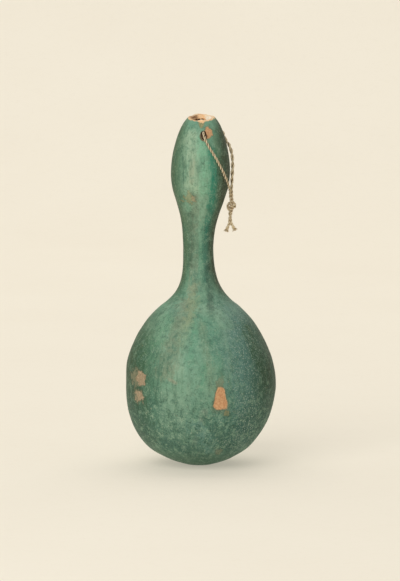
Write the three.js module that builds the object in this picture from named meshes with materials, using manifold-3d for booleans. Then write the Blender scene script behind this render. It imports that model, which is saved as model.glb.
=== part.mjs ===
// Dried bottle gourd with a knotted hanging string, in millimetres, +Z up.
// The flat spot it rests on is at z = 0, the cut mouth at the top, the front hole towards -Y.
import * as THREE from 'three';
import { mergeVertices } from 'three/addons/utils/BufferGeometryUtils.js';
import Module from 'manifold-3d';

const wasm = await Module();
wasm.setup();

// Outline of the shell from the edge of the flat spot to the cut mouth: radius, height.
const OUTLINE = [
  [12.0, 0.0],
  [16.5, 1.3],
  [24.6, 4.1],
  [32.3, 7.8],
  [43.0, 14.6],
  [54.0, 28.2],
  [60.2, 42.0],
  [63.3, 56.0],
  [64.2, 70.0],
  [62.0, 90.0],
  [54.1, 110.0],
  [45.0, 124.0],
  [35.2, 134.5],
  [27.4, 141.0],
  [21.1, 148.0],
  [16.7, 156.0],
  [14.2, 166.0],
  [13.0, 184.0],
  [13.8, 200.0],
  [16.4, 213.5],
  [20.7, 227.5],
  [24.2, 240.0],
  [25.3, 252.0],
  [24.2, 265.0],
  [21.8, 275.5],
  [18.3, 286.0],
  [14.8, 293.0],
  [10.8, 298.0],
];
const STEPS_PER_POINT = 2;
const SEGMENTS = 48;

// Thickness of the dried wall: in the body, in the neck and at the cut mouth.
const WALL_BODY = 3.4;
const WALL_NECK = 3.6;
const WALL_MOUTH = 1.8;
const NECK_HEIGHT = 184;
const MOUTH_HEIGHT = 298;

// The mouth is sawn across at a slant, lower at the front, and wanders a little.
const MOUTH_SLANT = Math.tan(THREE.MathUtils.degToRad(11));
const MOUTH_SLANT_FROM = 270;
const MOUTH_WAVE = 0.3;

// The gourd grew slightly bent: height, sideways shift, shift to the back.
const BEND = [
  [0, -1.5, 0.4],
  [20, -2.1, 0.4],
  [45, -0.9, 0.4],
  [68, 0.0, 0.45],
  [88, -0.9, 0.5],
  [110, -1.2, 0.6],
  [145, -1.1, 0.9],
  [184, -2.3, 1.2],
  [225, -0.7, 0.6],
  [250, -0.5, 0.2],
  [298, 0.1, 0.0],
];
// Three shallow swellings round the fruit, as a share of its radius.
const SWELLING = 0.007;

// Holes for the string: middle, direction outwards, half width, half height.
const HOLES = [
  { at: [2.4, -19.0, 284.6], out: [0.13, -0.97, 0.18], half: [2.5, 4.2] },
  { at: [12.3, 14.0, 285.6], out: [0.58, 0.7, 0.42], half: [2.7, 2.9] },
];
const HOLE_SIDES = 20;

// String, from the middle of the head outwards.
const FRONT_STRING_RADIUS = 1.1;
const BACK_STRING_RADIUS = 1.4;
const PAIR_RADIUS = 1.4;
const TAIL_RADIUS = 1.1;
const STRING_SIDES = 8;

// Front strand: out of the front hole, over the head and down to the right.
const FRONT_ROUTE = [
  [6.6, -1.0, 281.6],
  [4.2, -6.6, 285.2],
  [2.4, -12.4, 286.2],
  [2.1, -17.3, 286.2],
  [2.4, -20.7, 284.4],
  [3.7, -23.3, 280.8],
  [6.0, -23.7, 276.0],
  [9.2, -23.6, 270.8],
  [12.7, -22.9, 264.9],
  [16.2, -21.1, 258.2],
  [19.6, -17.8, 251.0],
  [22.5, -13.0, 243.7],
  [24.1, -6.6, 238.0],
  [24.9, -0.8, 234.2],
  [25.6, 0.0, 230.8],
];
// Back strand: out of the back hole, round the right side and down.
const BACK_ROUTE = [
  [6.6, -1.0, 281.6],
  [7.9, 5.0, 282.4],
  [10.5, 11.4, 283.9],
  [13.8, 16.3, 285.6],
  [17.6, 17.0, 284.4],
  [20.7, 13.2, 278.3],
  [24.5, 7.6, 272.6],
  [26.6, 3.8, 264.6],
  [27.0, 2.2, 257.1],
  [26.6, 1.4, 247.6],
  [26.2, 0.6, 239.2],
  [26.2, 0.2, 234.8],
  [25.6, 0.0, 230.8],
];
// Overhand knot tied in the two strands together, about its own middle.
const KNOT_MIDDLE = [26.0, 0.0, 221.9];
const KNOT_ROUTE = [
  [-0.4, 0.0, 8.9],
  [-0.1, -0.1, 6.6],
  [0.2, -0.6, 4.6],
  [0.1, -1.2, 2.8],
  [0.3, -0.5, 1.1],
  [0.9, 0.4, -0.4],
  [1.0, -0.4, -1.8],
  [0.0, -1.2, -2.8],
  [-1.8, -0.8, -3.0],
  [-3.0, -0.1, -1.8],
  [-3.1, 0.3, 0.1],
  [-2.6, 0.7, 1.8],
  [-1.3, 1.2, 2.7],
  [0.4, 1.4, 2.8],
  [2.2, 0.9, 2.6],
  [3.1, -0.2, 1.5],
  [2.7, -1.2, 0.2],
  [1.0, -1.9, -0.5],
  [-0.7, -1.1, -0.9],
  [-1.2, 0.3, -1.4],
  [-0.7, 1.3, -2.6],
  [-0.6, 0.9, -4.3],
  [-0.9, 0.3, -6.3],
  [-1.1, 0.0, -8.8],
];
// The pair below the knot and the two frayed tails.
const PAIR_END = [
  [24.8, 0.0, 210.8],
  [24.9, 0.0, 208.8],
];
const LEFT_TAIL = [
  [24.3, 0.0, 209.6],
  [23.9, -0.1, 206.8],
  [23.0, -0.3, 204.5],
  [22.1, -0.4, 202.1],
];
const RIGHT_TAIL = [
  [25.4, 0.0, 209.6],
  [25.9, 0.2, 206.9],
  [27.1, 0.3, 204.8],
  [28.3, 0.2, 202.8],
];

function solid(geometry) {
  geometry.deleteAttribute('normal');
  geometry.deleteAttribute('uv');
  const merged = mergeVertices(geometry, 1e-4);
  return new wasm.Manifold(new wasm.Mesh({
    numProp: 3,
    vertProperties: new Float32Array(merged.attributes.position.array),
    triVerts: new Uint32Array(merged.index.array),
  }));
}

function toGeometry(manifold) {
  const mesh = manifold.getMesh();
  const geometry = new THREE.BufferGeometry();
  geometry.setAttribute('position', new THREE.BufferAttribute(new Float32Array(mesh.vertProperties), 3));
  geometry.setIndex(new THREE.BufferAttribute(new Uint32Array(mesh.triVerts), 1));
  geometry.computeVertexNormals();
  return geometry;
}

function curve(points) {
  return new THREE.CatmullRomCurve3(points.map((p) => new THREE.Vector3(...p)), false, 'centripetal');
}

// Value between rows of a table, on a curve that eases through every row.
function between(table, column, height) {
  const last = table.length - 1;
  const z = THREE.MathUtils.clamp(height, table[0][0], table[last][0]);
  let row = 0;
  while (row < last - 1 && z > table[row + 1][0]) row += 1;
  const rise = (i) => (table[i + 1][column] - table[i][column]) / (table[i + 1][0] - table[i][0]);
  const slope = (i) => {
    if (i === 0) return rise(0);
    if (i === last) return rise(last - 1);
    const below = table[i][0] - table[i - 1][0];
    const above = table[i + 1][0] - table[i][0];
    return (rise(i - 1) * above + rise(i) * below) / (below + above);
  };
  const span = table[row + 1][0] - table[row][0];
  const t = (z - table[row][0]) / span;
  const start = (2 * t ** 3 - 3 * t ** 2 + 1) * table[row][column];
  const end = (3 * t ** 2 - 2 * t ** 3) * table[row + 1][column];
  const leave = (t ** 3 - 2 * t ** 2 + t) * span * slope(row);
  const arrive = (t ** 3 - t ** 2) * span * slope(row + 1);
  return start + end + leave + arrive;
}

function wallAt(height) {
  if (height < NECK_HEIGHT) {
    return THREE.MathUtils.lerp(WALL_BODY, WALL_NECK, height / NECK_HEIGHT);
  }
  return THREE.MathUtils.lerp(WALL_NECK, WALL_MOUTH, (height - NECK_HEIGHT) / (MOUTH_HEIGHT - NECK_HEIGHT));
}

// Closed outline of the wall: out along the underside, up the outside, over the mouth, down the inside.
function wallProfile() {
  const line = curve(OUTLINE.map(([r, z]) => [r, z, 0]));
  const count = (OUTLINE.length - 1) * STEPS_PER_POINT;
  const outside = [];
  const inside = [];
  for (let i = 0; i <= count; i += 1) {
    const point = line.getPoint(i / count);
    const along = line.getTangent(i / count);
    outside.push(new THREE.Vector2(point.x, point.y));
    const wall = wallAt(point.y);
    inside.push(new THREE.Vector2(point.x - wall * along.y, point.y + wall * along.x));
  }
  // The sawn face: a narrow flat with both its edges eased.
  const rim = outside[count];
  outside[count] = new THREE.Vector2(rim.x + 0.25, rim.y - 0.5);
  const face = [
    new THREE.Vector2(rim.x - 0.2, rim.y),
    new THREE.Vector2(rim.x - WALL_MOUTH - 0.1, rim.y),
    new THREE.Vector2(rim.x - WALL_MOUTH - 0.6, rim.y - 0.6),
  ];
  const floor = WALL_BODY;
  const down = inside.filter((p, i) => p.y < MOUTH_HEIGHT - 3.5 && p.y > floor + 1.2 && i % 2 === 0);
  down.reverse();
  return [
    new THREE.Vector2(0, 0),
    ...outside,
    ...face,
    ...down,
    new THREE.Vector2(down[down.length - 1].x * 0.55, floor + 0.3),
    new THREE.Vector2(0, floor),
  ];
}

// Bend, swellings and slanted mouth, the same for the outside and the inside.
function grow(geometry) {
  const position = geometry.attributes.position;
  for (let i = 0; i < position.count; i += 1) {
    const x = position.getX(i);
    const y = position.getY(i);
    const z = position.getZ(i);
    const angle = Math.atan2(y, x);
    const swell = 1 + SWELLING * Math.sin(3 * angle);
    const nx = x * swell + between(BEND, 1, z);
    const ny = y * swell + between(BEND, 2, z);
    const lift = THREE.MathUtils.smoothstep(z, MOUTH_SLANT_FROM, MOUTH_HEIGHT);
    const wave = MOUTH_WAVE * (Math.sin(4 * angle + 1) + 0.6 * Math.sin(7 * angle));
    const reach = Math.min(1, Math.hypot(x, y) / 6);
    position.setXYZ(i, nx, ny, z + lift * (MOUTH_SLANT * ny + wave * reach * lift));
  }
  return geometry;
}

function holeCutter({ at, out, half }) {
  const shape = new THREE.Shape();
  for (let i = 0; i < HOLE_SIDES; i += 1) {
    const a = (2 * Math.PI * i) / HOLE_SIDES;
    const x = half[0] * Math.cos(a);
    const y = half[1] * Math.sin(a);
    if (i === 0) shape.moveTo(x, y);
    else shape.lineTo(x, y);
  }
  const geometry = new THREE.ExtrudeGeometry(shape, { depth: 14, steps: 1, bevelEnabled: false });
  geometry.translate(0, 0, -7);
  const ahead = new THREE.Vector3(...out).normalize();
  const side = new THREE.Vector3(0, 0, 1).cross(ahead).normalize();
  const up = new THREE.Vector3().crossVectors(ahead, side);
  geometry.applyMatrix4(new THREE.Matrix4().makeBasis(side, up, ahead));
  geometry.translate(...at);
  return geometry;
}

function makeShell() {
  const lathe = new THREE.LatheGeometry(wallProfile(), SEGMENTS);
  lathe.rotateX(Math.PI / 2);
  let shell = solid(grow(lathe));
  for (const hole of HOLES) shell = shell.subtract(solid(holeCutter(hole)));
  const geometry = toGeometry(shell);
  geometry.computeBoundingBox();
  const middle = geometry.boundingBox.getCenter(new THREE.Vector3());
  geometry.translate(-middle.x, -middle.y, 0);
  return geometry;
}

function tube(points, radius, steps) {
  const shape = new THREE.Shape();
  for (let i = 0; i < STRING_SIDES; i += 1) {
    const a = (2 * Math.PI * (i + 0.5)) / STRING_SIDES;
    if (i === 0) shape.moveTo(radius * Math.cos(a), radius * Math.sin(a));
    else shape.lineTo(radius * Math.cos(a), radius * Math.sin(a));
  }
  return solid(new THREE.ExtrudeGeometry(shape, {
    steps,
    bevelEnabled: false,
    extrudePath: curve(points),
  }));
}

// The knot is swept in short overlapping runs so that each turn is a clean solid before they fuse.
function knotRuns() {
  const points = KNOT_ROUTE.map((p) => p.map((v, k) => v + KNOT_MIDDLE[k]));
  return [
    tube(points.slice(0, 8), PAIR_RADIUS, 10),
    tube(points.slice(6, 14), PAIR_RADIUS, 10),
    tube(points.slice(12, 18), PAIR_RADIUS, 7),
    tube([...points.slice(16), ...PAIR_END], PAIR_RADIUS, 11),
  ];
}

function makeString() {
  const runs = [
    tube(FRONT_ROUTE, FRONT_STRING_RADIUS, 16),
    tube(BACK_ROUTE, BACK_STRING_RADIUS, 14),
    ...knotRuns(),
    tube(LEFT_TAIL, TAIL_RADIUS, 2),
    tube(RIGHT_TAIL, TAIL_RADIUS, 2),
  ];
  return toGeometry(runs.reduce((whole, run) => whole.add(run)));
}

const group = new THREE.Group();
group.name = 'bottle_gourd';

const shell = new THREE.Mesh(makeShell(), new THREE.MeshStandardMaterial({
  color: 0x48705f,
  roughness: 0.72,
  metalness: 0,
}));
shell.name = 'gourd_shell';
group.add(shell);

const string = new THREE.Mesh(makeString(), new THREE.MeshStandardMaterial({
  color: 0xa98a5c,
  roughness: 0.95,
  metalness: 0,
}));
string.name = 'string';
group.add(string);

export default group;
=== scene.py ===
"""Dried bottle gourd with a knotted twine loop: its looks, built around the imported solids."""

import math

import bpy
import numpy as np
from bpy.props import FloatProperty, FloatVectorProperty, IntProperty, PointerProperty
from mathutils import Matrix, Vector, noise


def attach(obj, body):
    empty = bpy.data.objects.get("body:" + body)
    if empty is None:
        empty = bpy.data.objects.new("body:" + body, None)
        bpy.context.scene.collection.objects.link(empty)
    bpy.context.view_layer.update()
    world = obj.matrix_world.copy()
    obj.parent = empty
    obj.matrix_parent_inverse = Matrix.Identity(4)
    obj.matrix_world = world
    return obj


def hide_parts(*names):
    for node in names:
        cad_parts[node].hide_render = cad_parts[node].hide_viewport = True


bl_info = {
    "name": "Dried Bottle Gourd",
    "version": (1, 0, 0),
    "blender": (4, 5, 0),
    "location": "3D View > Sidebar > Gourd",
    "description": "Builds a painted, dried bottle gourd with a knotted twine loop",
    "category": "Object",
}

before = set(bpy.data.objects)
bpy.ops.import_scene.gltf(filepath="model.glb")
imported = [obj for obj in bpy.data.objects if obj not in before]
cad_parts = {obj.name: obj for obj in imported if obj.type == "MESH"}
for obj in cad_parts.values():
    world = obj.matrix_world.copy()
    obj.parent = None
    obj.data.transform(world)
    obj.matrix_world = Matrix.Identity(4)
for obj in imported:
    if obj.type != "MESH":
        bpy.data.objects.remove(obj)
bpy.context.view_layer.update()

MM = 0.001
IMAGE = (400, 581)

# Outline of the shell, flat spot to mouth: radius and height in millimetres.
OUTLINE = [
    (12.0, 0.0), (16.5, 1.3), (24.6, 4.1), (32.3, 7.8), (43.0, 14.6), (54.0, 28.2), (60.2, 42.0),
    (63.3, 56.0), (64.2, 70.0), (62.0, 90.0), (54.1, 110.0), (45.0, 124.0), (35.2, 134.5), (27.4, 141.0),
    (21.1, 148.0), (16.7, 156.0), (14.2, 166.0), (13.0, 184.0), (13.8, 200.0), (16.4, 213.5), (20.7, 227.5),
    (24.2, 240.0), (25.3, 252.0), (24.2, 265.0), (21.8, 275.5), (18.3, 286.0), (14.8, 293.0), (10.8, 298.0),
]
MOUTH_HEIGHT = 298.0
SLANT_FROM = 270.0
# Height, shift to the side and shift to the back of the slightly bent fruit.
BEND = [
    (0, -1.5, 0.4), (20, -2.1, 0.4), (45, -0.9, 0.4), (68, 0.0, 0.45), (88, -0.9, 0.5), (110, -1.2, 0.6),
    (145, -1.1, 0.9), (184, -2.3, 1.2), (225, -0.7, 0.6), (250, -0.5, 0.2), (298, 0.1, 0.0),
]
# String holes: middle, direction outwards, half width and half height.
HOLES = [
    ((2.4, -19.0, 284.6), (0.13, -0.97, 0.18), (2.35, 4.0)),
    ((12.3, 14.0, 285.6), (0.58, 0.7, 0.42), (2.55, 2.75)),
]

# Routes of the string, in metres, from the middle of the head outwards.
FRONT_ROUTE = [
    (0.0066, -0.0010, 0.2816), (0.0042, -0.0066, 0.2852), (0.0024, -0.0124, 0.2862),
    (0.0021, -0.0173, 0.2862), (0.0024, -0.0207, 0.2844), (0.0037, -0.0233, 0.2808),
    (0.0060, -0.0237, 0.2760), (0.0092, -0.0236, 0.2708), (0.0127, -0.0229, 0.2649),
    (0.0162, -0.0211, 0.2582), (0.0196, -0.0178, 0.2510), (0.0225, -0.0130, 0.2437),
    (0.0241, -0.0066, 0.2380), (0.0249, -0.0008, 0.2342), (0.0256, 0.0000, 0.2308),
]
BACK_ROUTE = [
    (0.0066, -0.0010, 0.2816), (0.0079, 0.0050, 0.2824), (0.0105, 0.0114, 0.2839),
    (0.0138, 0.0163, 0.2856), (0.0176, 0.0170, 0.2844), (0.0207, 0.0132, 0.2783),
    (0.0245, 0.0076, 0.2726), (0.0266, 0.0038, 0.2646), (0.0270, 0.0022, 0.2571),
    (0.0266, 0.0014, 0.2476), (0.0262, 0.0006, 0.2392), (0.0262, 0.0002, 0.2348),
    (0.0256, 0.0000, 0.2308),
]
KNOT_MIDDLE = (0.0260, 0.0, 0.2219)
KNOT_ROUTE = [
    (-0.0004, 0.0000, 0.0089), (-0.0001, -0.0001, 0.0066), (0.0002, -0.0006, 0.0046),
    (0.0001, -0.0012, 0.0028), (0.0003, -0.0005, 0.0011), (0.0009, 0.0004, -0.0004),
    (0.0010, -0.0004, -0.0018), (0.0000, -0.0012, -0.0028), (-0.0018, -0.0008, -0.0030),
    (-0.0030, -0.0001, -0.0018), (-0.0031, 0.0003, 0.0001), (-0.0026, 0.0007, 0.0018),
    (-0.0013, 0.0012, 0.0027), (0.0004, 0.0014, 0.0028), (0.0022, 0.0009, 0.0026),
    (0.0031, -0.0002, 0.0015), (0.0027, -0.0012, 0.0002), (0.0010, -0.0019, -0.0005),
    (-0.0007, -0.0011, -0.0009), (-0.0012, 0.0003, -0.0014), (-0.0007, 0.0013, -0.0026),
    (-0.0006, 0.0009, -0.0043), (-0.0009, 0.0003, -0.0063), (-0.0011, 0.0000, -0.0088),
]
PAIR_END = [(0.0248, 0.0000, 0.2108), (0.0249, 0.0000, 0.2088)]
LEFT_TAIL = [(0.0239, -0.0001, 0.2068), (0.0230, -0.0003, 0.2045), (0.0221, -0.0004, 0.2021)]
RIGHT_TAIL = [(0.0259, 0.0002, 0.2069), (0.0271, 0.0003, 0.2048), (0.0283, 0.0002, 0.2028)]

# Height of the waist, and the wall of the fruit in the belly, at the waist and at the mouth.
WAIST_HEIGHT = 184.0
WALLS = (3.4, 3.6, 1.8)
# Rise of the sawn mouth for each length towards the back.
MOUTH_RISE = 0.194
# Rings of the shell as radius, height and zone: the flat spot, then the sawn mouth and the torn pith below.
SKIN, SAWN, PITH = 0, 1, 2
FOOT_RINGS = [(0.0, 0.0, SKIN), (4.0, 0.0, SKIN), (8.0, 0.0, SKIN)]
MOUTH_RINGS = [
    (10.8, 297.7, SKIN), (10.6, 297.95, SAWN), (10.25, 298.05, SAWN), (9.85, 298.0, SAWN),
    (9.45, 298.05, SAWN), (9.15, 297.95, SAWN), (8.95, 297.6, SAWN), (8.75, 297.2, PITH),
    (8.45, 296.8, PITH), (8.2, 296.4, PITH), (8.0, 296.0, PITH), (7.85, 295.6, PITH),
    (7.8, 295.2, PITH), (7.85, 294.8, PITH), (8.1, 294.4, PITH), (8.6, 294.0, PITH),
    (9.4, 293.5, PITH), (10.6, 292.9, PITH),
]
# Lowest and highest place of the rings inside.
INSIDE = (4.6, 292.2)
# Rings of the floor inside: share of the last ring's radius, and height.
FLOOR_RINGS = [(0.75, 3.9), (0.5, 3.6), (0.25, 3.45), (0.0, 3.4)]
# Rings of the strip inside the mouth where torn fibres hang.
BAND_RINGS = [(8.6, 296.9), (8.0, 295.8), (7.9, 294.6), (9.0, 293.7)]
BAND_SIDES = 48
# Depth along a string hole in millimetres, and how far it is worn open there.
BORE_LEVELS = [(-8.0, 0.94), (-2.4, 0.96), (-0.9, 1.0), (-0.1, 1.05), (0.5, 1.16), (1.4, 1.4)]
BORE_SIDES = 40
# Stretch of a hole whose faces are bare rind, and the turn between faces that stays sharp.
BARE_FROM, BARE_TO = -5.5, 1.6
SHARP_TURN = math.radians(42)
# Points of the shell that are nearer than this, in metres, become one, and the fewest faces of a bored shell.
WELD = 2e-6
FEWEST_FACES = 10000
# Spacing of points along the lead of a strand, the knot and the finished strand.
LEAD_STEP, PAIR_STEP, STRAND_STEP = 0.0018, 0.0004, 0.00042
# Plies: sides, distance of each from the middle and its radius as shares of the string's radius.
PLY_SIDES, PLY_OFFSET, PLY_RADIUS = 14, 0.46, 0.57

# Loose fibres: how long, thick and slanted, and how many to the square metre. A frayed end has so many,
# each turned on from the last, with their roots sunk that far into the string.
FRAY_FIBRES, FRAY_TURN, FRAY_SINK = 80, 2.4, 0.0014
FRAY = {"Length": 0.0040, "Thickness": 0.00013, "Spread": 0.46}
FUZZ = {"Density": 3.0e5, "Length": 0.0014, "Thickness": 0.00003, "Slant": 1.15}
TORN = {"Density": 3.2e5, "Length": 0.0034, "Thickness": 0.00008, "Slant": 1.0}

# Camera: film height in millimetres, the picture column of the gourd's axis, and the height aimed at.
FILM = 24.0
AXIS_COLUMN = 201.0
AIM_HEIGHT = 0.1494
# Ground in metres: front edge, where the backdrop starts to rise, its far top, half width and gap below.
GROUND_FRONT, GROUND_BACK, BACKDROP_TOP, HALF_WIDTH, GROUND_GAP = -7.0, 1.6, 4.5, 5.0, 0.0004
# Lights: place, width and share of the main strength.
LIGHTS = {"key_light": ((-1.1, -2.3, 1.9), 2.6, 1.0), "top_light": ((0.0, 2.1, 3.0), 4.0, 1.2)}
LIGHT_COLOUR = (1.0, 0.985, 0.96)


def tint(red, green, blue):
    """Linear colour with alpha from display values 0 to 255."""
    def line(value):
        share = value / 255
        return share / 12.92 if share <= 0.04045 else ((share + 0.055) / 1.055) ** 2.4
    return (line(red), line(green), line(blue), 1.0)


# The colours beside those in the settings, from display values.
COLOURS = {name: tint(*values) for name, values in {
    "leaf green": (90, 138, 110), "olive painted shade": (54, 58, 36), "green painted shade": (38, 68, 44),
    "dull painted shade": (76, 104, 74), "shaded green": (46, 76, 46), "painted edge shade": (40, 54, 34),
    "painted low shade": (60, 102, 90), "deep mottle": (60, 99, 84), "pale mottle": (130, 166, 140),
    "streaks and painted shade": (66, 104, 82), "painted underside shade": (74, 110, 88), "pale pore": (158, 182, 156),
    "dark pore": (54, 86, 68), "stipple": (160, 178, 164), "tan fleck": (176, 150, 112),
    "brown rind": (192, 140, 100), "dark ochre": (126, 122, 80), "pale ochre": (170, 152, 104),
    "dark stain": (122, 126, 98), "pale stain": (148, 140, 114), "dark tan": (152, 132, 104),
    "pale tan": (190, 168, 140), "paint lip": (92, 100, 74), "rubbed rim": (108, 78, 56),
    "sawn edge": (236, 196, 148), "scar rim": (96, 104, 78), "scar": (92, 70, 48),
    "cream rind": (244, 222, 186), "peach rind": (230, 178, 128), "pale fibre": (246, 232, 206),
    "left brown": (164, 122, 86), "bored brown": (138, 90, 62), "tan pith": (206, 160, 116),
    "brown pith": (120, 80, 52), "straw pith": (226, 196, 152), "membrane": (96, 62, 40),
    "peach": (246, 190, 134), "pale peach": (252, 222, 180), "cream": (244, 226, 196),
    "pale cream": (252, 244, 226), "soiled twine": (128, 98, 66), "painted groove shade": (104, 78, 50),
    "painted knot shade": (150, 116, 78), "dark twine_fibre": (190, 164, 122), "pale twine_fibre": (232, 216, 182),
    "dark pith_fibre": (112, 76, 48), "pale pith_fibre": (226, 196, 150), "warm paper": (246, 238, 221),
    "paper fleck": (214, 200, 172), "studio air": (255, 252, 246),
}.items()}


# Lines, frames and tables.

def spline(points, per):
    """Centripetal Catmull-Rom line through the points, per steps to each."""
    p = np.asarray(points, float)
    p = np.vstack([2 * p[0] - p[1], p, 2 * p[-1] - p[-2]])
    line = []
    for p0, p1, p2, p3 in zip(p[:-3], p[1:-2], p[2:-1], p[3:]):
        t1 = np.linalg.norm(p1 - p0) ** 0.5
        t2 = t1 + np.linalg.norm(p2 - p1) ** 0.5
        t3 = t2 + np.linalg.norm(p3 - p2) ** 0.5
        t = np.linspace(t1, t2, per, endpoint=False)[:, None]
        a1 = (t1 - t) / t1 * p0 + t / t1 * p1
        a2 = (t2 - t) / (t2 - t1) * p1 + (t - t1) / (t2 - t1) * p2
        a3 = (t3 - t) / (t3 - t2) * p2 + (t - t2) / (t3 - t2) * p3
        b1 = (t2 - t) / t2 * a1 + t / t2 * a2
        b2 = (t3 - t) / (t3 - t1) * a2 + (t - t1) / (t3 - t1) * a3
        line.append((t2 - t) / (t2 - t1) * b1 + (t - t1) / (t2 - t1) * b2)
    return np.vstack(line + [p[-2:-1]])


def along(line):
    """Distance of each point from the start of the line."""
    return np.r_[0, np.cumsum(np.linalg.norm(np.diff(line, axis=0), axis=1))]


def read_at(line, s, at):
    """Points of a line at the distances given."""
    return np.stack([np.interp(at, s, line[:, k]) for k in range(line.shape[1])], 1)


def evened(line, step):
    """The same line with even steps of about that length."""
    s = along(line)
    return read_at(line, s, np.linspace(0, s[-1], int(math.ceil(s[-1] / step)) + 1))


def steps(marks, counts):
    """Places from mark to mark, with so many even steps between each two."""
    spans = [np.linspace(a, b, count, endpoint=False) for a, b, count in zip(marks, marks[1:], counts)]
    return np.r_[np.concatenate(spans), marks[-1]]


def unit(vectors):
    """The same directions, one long."""
    return vectors / np.linalg.norm(vectors, axis=1, keepdims=True)


def carried_frames(line):
    """Tangent and two cross directions at each point, carried along without twist."""
    tangent = unit(np.gradient(line, axis=0))
    side = np.cross(tangent[0], (0.0, 1.0, 0.0) if abs(tangent[0][1]) < 0.8 else (1.0, 0.0, 0.0))
    sides = []
    for t in tangent:
        side = side - t * side.dot(t)
        side = side / np.linalg.norm(side)
        sides.append(side)
    sides = np.array(sides)
    return tangent, sides, np.cross(tangent, sides)


def from_table(table, column, height):
    """Value between rows of a table, on a curve that eases through every row."""
    rows = np.asarray(table, float)
    x, y = rows[:, 0], rows[:, column]
    gap = np.diff(x)
    rise = np.diff(y) / gap
    inner = (rise[:-1] * gap[1:] + rise[1:] * gap[:-1]) / (x[2:] - x[:-2])
    slope = np.r_[rise[0], inner, rise[-1]]
    z = min(max(height, x[0]), x[-1])
    i = min(max(int(np.searchsorted(x, z)) - 1, 0), len(x) - 2)
    t = (z - x[i]) / gap[i]
    return ((2 * t**3 - 3 * t**2 + 1) * y[i] + (3 * t**2 - 2 * t**3) * y[i + 1]
            + (t**3 - 2 * t**2 + t) * gap[i] * slope[i] + (t**3 - t**2) * gap[i] * slope[i + 1])


def smooth(value, low, high):
    """0 below low, 1 above high, eased between."""
    t = np.clip((np.asarray(value, float) - low) / (high - low), 0, 1)
    return t * t * (3 - 2 * t)


# Node helpers.

def feed(socket, value):
    """Links a wire to an input, or sets the input to a plain value."""
    if isinstance(value, Wire):
        value.tree.links.new(value.socket, socket)
    else:
        socket.default_value = value


def feed_all(sockets, values):
    """Feeds several inputs by name or number."""
    for name, value in values.items():
        feed(sockets[name], value)


def put(tree, kind, settings=None, sockets=None):
    """A node with its settings and its sockets fed. Returns the wire of its first output."""
    node = tree.nodes.new(kind)
    for name, value in (settings or {}).items():
        setattr(node, name, value)
    feed_all(node.inputs, sockets or {})
    return Wire(node.outputs[0])


def calc(tree, operation, *values, clamp=False):
    """A Math node on numbers or wires."""
    settings = {"operation": operation, "use_clamp": clamp}
    return put(tree, "ShaderNodeMath", settings, dict(enumerate(values)))


class Wire:
    """An output of a node. Plain signs between wires and numbers add Math nodes."""

    def __init__(self, socket):
        self.socket = socket
        self.tree = socket.id_data

    def out(self, key):
        """Another output of the same node."""
        return Wire(self.socket.node.outputs[key])

    def math(self, operation, *others, clamp=False):
        """A Math node that starts with this wire."""
        return calc(self.tree, operation, self, *others, clamp=clamp)

    def __add__(self, other):
        return self.math("ADD", other)

    def __sub__(self, other):
        return self.math("SUBTRACT", other)

    def __mul__(self, other):
        return self.math("MULTIPLY", other)

    def __truediv__(self, other):
        return self.math("DIVIDE", other)

    def __rsub__(self, other):
        return calc(self.tree, "SUBTRACT", other, self)

    def __rtruediv__(self, other):
        return calc(self.tree, "DIVIDE", other, self)

    def vector(self, operation, *others, **sockets):
        """A Vector Math node that starts with this wire."""
        inputs = {**dict(enumerate((self,) + others)), **sockets}
        made = put(self.tree, "ShaderNodeVectorMath", {"operation": operation}, inputs)
        return made.out("Value") if operation in ("DISTANCE", "DOT_PRODUCT") else made

    def ease(self, low, high, to_low=0.0, to_high=1.0):
        """The value smoothly mapped, and held at both ends."""
        return put(self.tree, "ShaderNodeMapRange", {"interpolation_type": "SMOOTHSTEP"}, {
            "Value": self, "From Min": low, "From Max": high, "To Min": to_low, "To Max": to_high,
        })

    def cloud(self, scale, detail=3.0, rough=0.55, warp=0.0):
        """Noise value about 0.5 at this place."""
        return put(self.tree, "ShaderNodeTexNoise", None, {
            "Vector": self, "Scale": scale, "Detail": detail, "Roughness": rough, "Distortion": warp,
        })

    def stretched(self, by, turn=0.0):
        """Coordinates scaled along each axis, and turned about the third."""
        return put(self.tree, "ShaderNodeMapping", {"vector_type": "POINT"}, {
            "Vector": self, "Rotation": (0.0, 0.0, turn), "Scale": by,
        })

    def group(self, name, sockets):
        """A named group that works on this place."""
        return put(self.tree, "ShaderNodeGroup", {"node_tree": tree_named(name)}, {"Place": self, **sockets})

    def parts(self):
        """The three numbers of a place."""
        split = put(self.tree, "ShaderNodeSeparateXYZ", None, {0: self})
        return [split.out(axis) for axis in range(3)]


def joined(tree, parts):
    """A vector from numbers, by axis."""
    return put(tree, "ShaderNodeCombineXYZ", None, parts)


def spun(place, axis, angle):
    """A place turned about an axis."""
    sockets = {"Vector": place, "Angle": angle}
    return put(place.tree, "ShaderNodeVectorRotate", {"rotation_type": axis}, sockets)


def attribute(tree, name):
    """A value that the mesh carries, read in a material."""
    return put(tree, "ShaderNodeAttribute", {"attribute_name": name}).out("Fac")


def mix(share, first, second):
    """Two colours mixed by a share, each a wire, a colour or the name of one."""
    first, second = (COLOURS[c] if isinstance(c, str) else c for c in (first, second))
    return put(share.tree, "ShaderNodeMix", {"data_type": "RGBA"}, {0: share, 6: first, 7: second}).out(2)


def glaze(base, *layers):
    """A colour under thin layers, each a share and a colour."""
    for share, colour in layers:
        base = mix(share, base, colour)
    return base


FLOAT, VECTOR = "NodeSocketFloat", "NodeSocketVector"
GEOMETRY, MATERIAL = "NodeSocketGeometry", "NodeSocketMaterial"
NUMBERS = {float: FLOAT, int: "NodeSocketInt"}


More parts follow.
